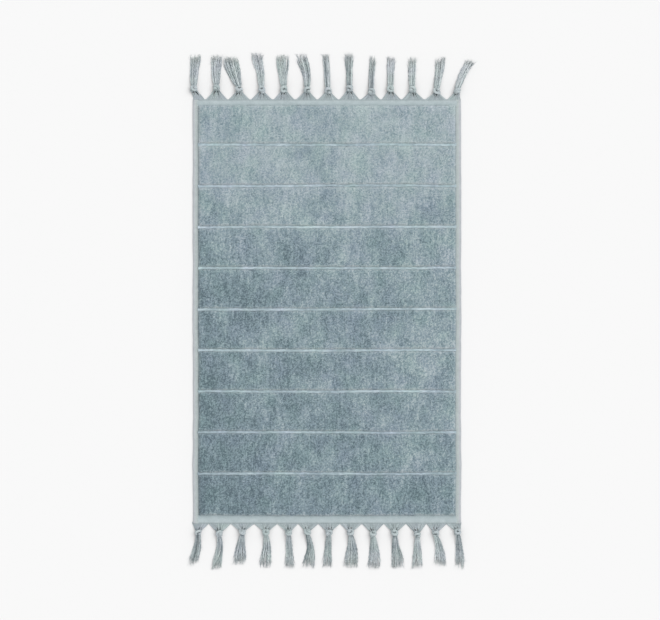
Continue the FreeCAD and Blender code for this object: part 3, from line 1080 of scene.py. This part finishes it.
        # Painted shade: yarns low in the heap darker.
        tint = np.clip(pale + 0.46 * level + shades + rng.normal(0, 0.14, count), 0.0, 0.85)
        patches = 0.2 * noise(paths[..., 1], 9.0 * np.arange(count)[:, None], 6, self.number + 740)
        patches = patches - core * np.exp(-(((run - 0.42) / 0.25) ** 2))
        patches = patches + 0.8 * core * smooth((run - 0.7) / 0.3)
        # Painted shade where the yarns leave the knot.
        knot_painted_shade = 0.32 * np.exp(-((run / 0.13) ** 2))
        yarns.add(self.to_world(paths), radii, tint[:, None] + patches - knot_painted_shade)
        self.fray(yarns, paths, tint)
        self.strays(yarns, paths)

    def fray(self, yarns, paths, tint):
        """Each yarn's cut end opens into thin filaments."""
        rng = self.rng
        ends = np.repeat(paths[:, -1], 4, 0)
        heading = np.repeat(paths[:, -1] - paths[:, -4], 4, 0)
        heading /= np.linalg.norm(heading, axis=1, keepdims=True)
        apart = rng.normal(0, 1, ends.shape) * (0.26, 0.2, 0.14)
        long = 1.5 + 9.0 * rng.uniform(0, 1, (len(ends), 1)) ** 2
        run = np.linspace(-0.25, 1, 6)[None, :, None]
        curve = ends[:, None] + (heading * long)[:, None] * run
        curve += (apart * long)[:, None] * np.clip(run, 0, 1) ** 1.5
        curve[..., 1] = np.minimum(curve[..., 1], self.tip[1] + OVERHANG)
        curve[..., 2] = np.clip(curve[..., 2], 0.3, CEILING)
        radii = np.linspace(0.27, 0.05, 6) * rng.uniform(0.7, 1.2, (len(ends), 1))
        # Painted light: filaments paler towards their ends, standing for light through thin fibre and lifting their
        # shade.
        tint = np.repeat(tint, 4)[:, None] + np.linspace(0.1, 0.6, 6)
        yarns.add(self.to_world(curve), radii, tint, sides=4)

    def strays(self, yarns, paths):
        """Fine fibres that stand away from the skirt's sides."""
        rng = self.rng
        count = STRAY_FIBRES
        pick = rng.integers(0, len(paths), count)
        place = rng.integers(3, paths.shape[1] - 1, count)
        root = paths[pick, place]
        outward = np.sign(root[:, 0] - self.knot[0] + rng.normal(0, 2, count))
        aim = np.stack([outward * rng.uniform(0.15, 0.75, count), rng.uniform(0.5, 1, count),
                        rng.uniform(-0.25, 0.35, count)], -1)
        long = rng.uniform(3, 8, (count, 1))
        run = np.linspace(0, 1, 7)[None, :, None]
        bend = rng.normal(0, 0.9, (count, 3))
        curve = root[:, None] + (aim * long)[:, None] * run + bend[:, None] * run**2
        curve[..., 1] = np.minimum(curve[..., 1], self.tip[1] + OVERHANG)
        curve[..., 2] = np.clip(curve[..., 2], 0.2, CEILING)
        radii = np.repeat(np.linspace(0.13, 0.06, 7)[None], count, 0)
        yarns.add(self.to_world(curve), radii, np.full(count, 0.7), sides=3)

    def make(self):
        yarns = Yarns()
        self.gather(yarns)
        self.tie(yarns)
        self.skirt(yarns)
        piece = yarns.make(f"{self.name}_yarns", YARN, "tassel")
        band = "band_1" if self.end == "head" else f"band_{BAND_COUNT}"
        start, end = (0, self.sign * (EDGE - 3) * MM, 0), (0, self.sign * (EDGE + 2) * MM, 0)
        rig.blend(piece, band, self.name, start=start, end=end)
        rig.replaces(piece, self.name)
        return piece


def tassel_count(end):
    return sum(name.startswith(f"{end}_tassel_") for name in frame["nodes"])


# ---- the mat
fringe = {}
for end in ENDS:
    fringe[end] = [Tassel(end, number).make() for number in range(1, 1 + tassel_count(end))]
    fringe[end].append(make_border(end))
for strip in STRIPS:
    cloth = make_cloth(strip)
    pile = make_pile(strip)
    hems, stitches = make_hems(strip)
    going = [pile, hems, stitches]
    if strip.rib is not None:
        going.append(make_rib(strip))
    if strip.number == 0:
        going += fringe["head"]
    else:
        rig.replaces(cloth, f"ground_panel_{strip.number}")
        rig.replaces(pile, f"pile_band_{strip.number}")
        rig.replaces(hems, f"side_hems_{strip.number}")
    if strip.number == BAND_COUNT:
        going += fringe["foot"]
    width = 2 * CLOTH_HALF * MM
    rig.sheet(cloth, flat=(width, (strip.high - strip.low) * MM), held="laid", with_pieces=going)


# ---- floor, light and camera
def make_floor():
    floor_mesh = bpy.data.meshes.new("floor")
    reach = 6.0
    corners = [(-reach, -reach, 0), (reach, -reach, 0), (reach, reach, 0), (-reach, reach, 0)]
    floor_mesh.from_pydata(corners, [], [(0, 1, 2, 3)])
    floor = bpy.data.objects.new("floor", floor_mesh)
    material = bpy.data.materials.new("floor_paper")
    material.use_nodes = True
    surface = material.node_tree.nodes["Principled BSDF"]
    surface.inputs["Base Color"].default_value = (0.72, 0.72, 0.72, 1)
    surface.inputs["Roughness"].default_value = 0.9
    surface.inputs["Specular IOR Level"].default_value = 0.1
    floor_mesh.materials.append(material)
    bpy.context.scene.collection.objects.link(floor)
    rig.stage(floor)


def soft_sun(name, place, strength):
    """A wide sun that shines towards the origin from the direction of place."""
    data = bpy.data.lights.new(name, "SUN")
    data.angle = math.radians(50)
    data.energy = strength
    light = bpy.data.objects.new(name, data)
    light.location = place
    pitch = math.atan2(math.hypot(place[0], place[1]), place[2])
    light.rotation_euler = (pitch, 0, math.atan2(-place[1], -place[0]) - math.pi / 2)
    bpy.context.scene.collection.objects.link(light)


def make_camera():
    """Straight down from far off, with a long lens."""
    height, view_width = 6.0, 1.2270
    data = bpy.data.cameras.new("camera")
    data.sensor_width = 36
    data.lens = 36 * height / view_width
    data.clip_end = 50
    camera = bpy.data.objects.new("camera", data)
    camera.location = (0.0058, 0.0030, height)
    bpy.context.scene.collection.objects.link(camera)
    bpy.context.scene.camera = camera


make_floor()
world = bpy.data.worlds.new("studio")
world.use_nodes = True
world.node_tree.nodes["Background"].inputs["Color"].default_value = (1, 1, 1, 1)
world.node_tree.nodes["Background"].inputs["Strength"].default_value = 0.88
bpy.context.scene.world = world
soft_sun("key", (2.2, 1.6, 4.2), 1.62)
make_camera()
bpy.context.scene.view_settings.view_transform = "Standard"

model_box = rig.bounds()
with open("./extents.json", "w") as size_file:
    boxes = {"cad": [list(corner) for corner in cad_box], "model": [list(corner) for corner in model_box]}
    json.dump(boxes, size_file)
